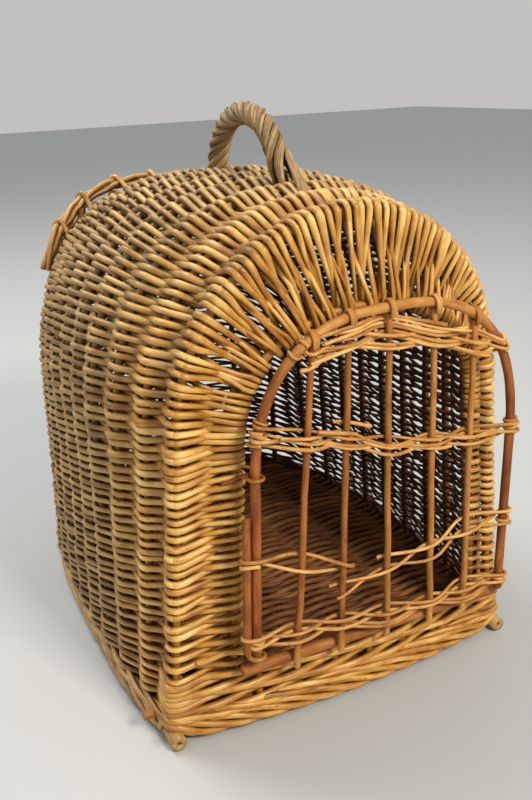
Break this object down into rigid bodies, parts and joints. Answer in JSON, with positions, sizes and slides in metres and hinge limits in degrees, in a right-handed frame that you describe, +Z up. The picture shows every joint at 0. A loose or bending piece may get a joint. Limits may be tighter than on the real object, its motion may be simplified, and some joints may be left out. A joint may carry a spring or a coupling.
{
  "type": "wicker cat carrier",
  "caption": "Vaulted willow carrier basket with a rounded rear, an arched doorway with a hinged barred door, and a roped carrying handle on the ridge.",
  "frame": {"origin": "middle of the bounding box's underside, on the surface that the runners rest on", "axes": "+Z up, the doorway faces -Y, +X to the right for a viewer in front of the doorway"},
  "size_m": [0.332, 0.4484, 0.439],
  "materials": {
    "side_willow": "varnished willow, khaki tan, satin",
    "front_willow": "varnished willow, honey gold, semi-gloss",
    "door_willow": "unpeeled willow, reddish brown, matt",
    "band_willow": "thin peeled willow, pale gold, satin",
    "handle_willow": "twisted willow, straw, satin",
    "base_willow": "willow, dark brown, matt"
  },
  "bodies": {
    "basket": {"left_runner": "base_willow", "right_runner": "base_willow", "front_base_rail": "base_willow", "rear_base_rail": "base_willow", "floor_weave": "base_willow", "front_corner_hoop": "front_willow", "hoop_1": "side_willow", "hoop_2": "side_willow", "hoop_3": "side_willow", "hoop_4": "side_willow", "hoop_5": "side_willow", "hoop_6": "side_willow", "hoop_7": "side_willow", "hoop_8": "side_willow", "hoop_9": "side_willow", "woven_bay_1": "side_willow", "woven_bay_2": "side_willow", "woven_bay_3": "side_willow", "woven_bay_4": "side_willow", "woven_bay_5": "side_willow", "woven_bay_6": "side_willow", "woven_bay_7": "side_willow", "woven_bay_8": "side_willow", "woven_bay_9": "side_willow", "rear_border": "side_willow", "rear_stake_1": "side_willow", "rear_stake_2": "side_willow", "rear_stake_3": "side_willow", "rear_stake_4": "side_willow", "rear_stake_5": "side_willow", "rear_stake_6": "side_willow", "rear_stake_7": "side_willow", "rear_bay_1": "side_willow", "rear_bay_2": "side_willow", "rear_bay_3": "side_willow", "rear_bay_4": "side_willow", "rear_bay_5": "side_willow", "rear_bay_6": "side_willow", "rear_bay_7": "side_willow", "rear_bay_8": "side_willow", "doorway_hoop": "front_willow", "front_weave": "front_willow", "sill_weave": "front_willow", "handle": "handle_willow", "lower_hinge_tie": "front_willow", "upper_hinge_tie": "front_willow"},
    "door": {"door_hoop": "door_willow", "door_bar_1": "door_willow", "door_bar_2": "door_willow", "door_bar_3": "door_willow", "door_bar_4": "door_willow", "door_bar_5": "door_willow", "door_bottom_rail": "door_willow", "door_spare_rod": "door_willow", "door_top_band": "band_willow", "door_upper_band": "band_willow", "door_lower_left_band": "band_willow", "door_lower_right_band": "band_willow", "door_bottom_band": "band_willow"}
  },
  "joints": [
    {"name": "door_hinge", "type": "hinge", "parent": "basket", "child": "door", "pos_m": [-0.091, -0.2163, 0.072], "axis": [-0.041, 0, -0.9992], "range_deg": [0, 150]}
  ]
}
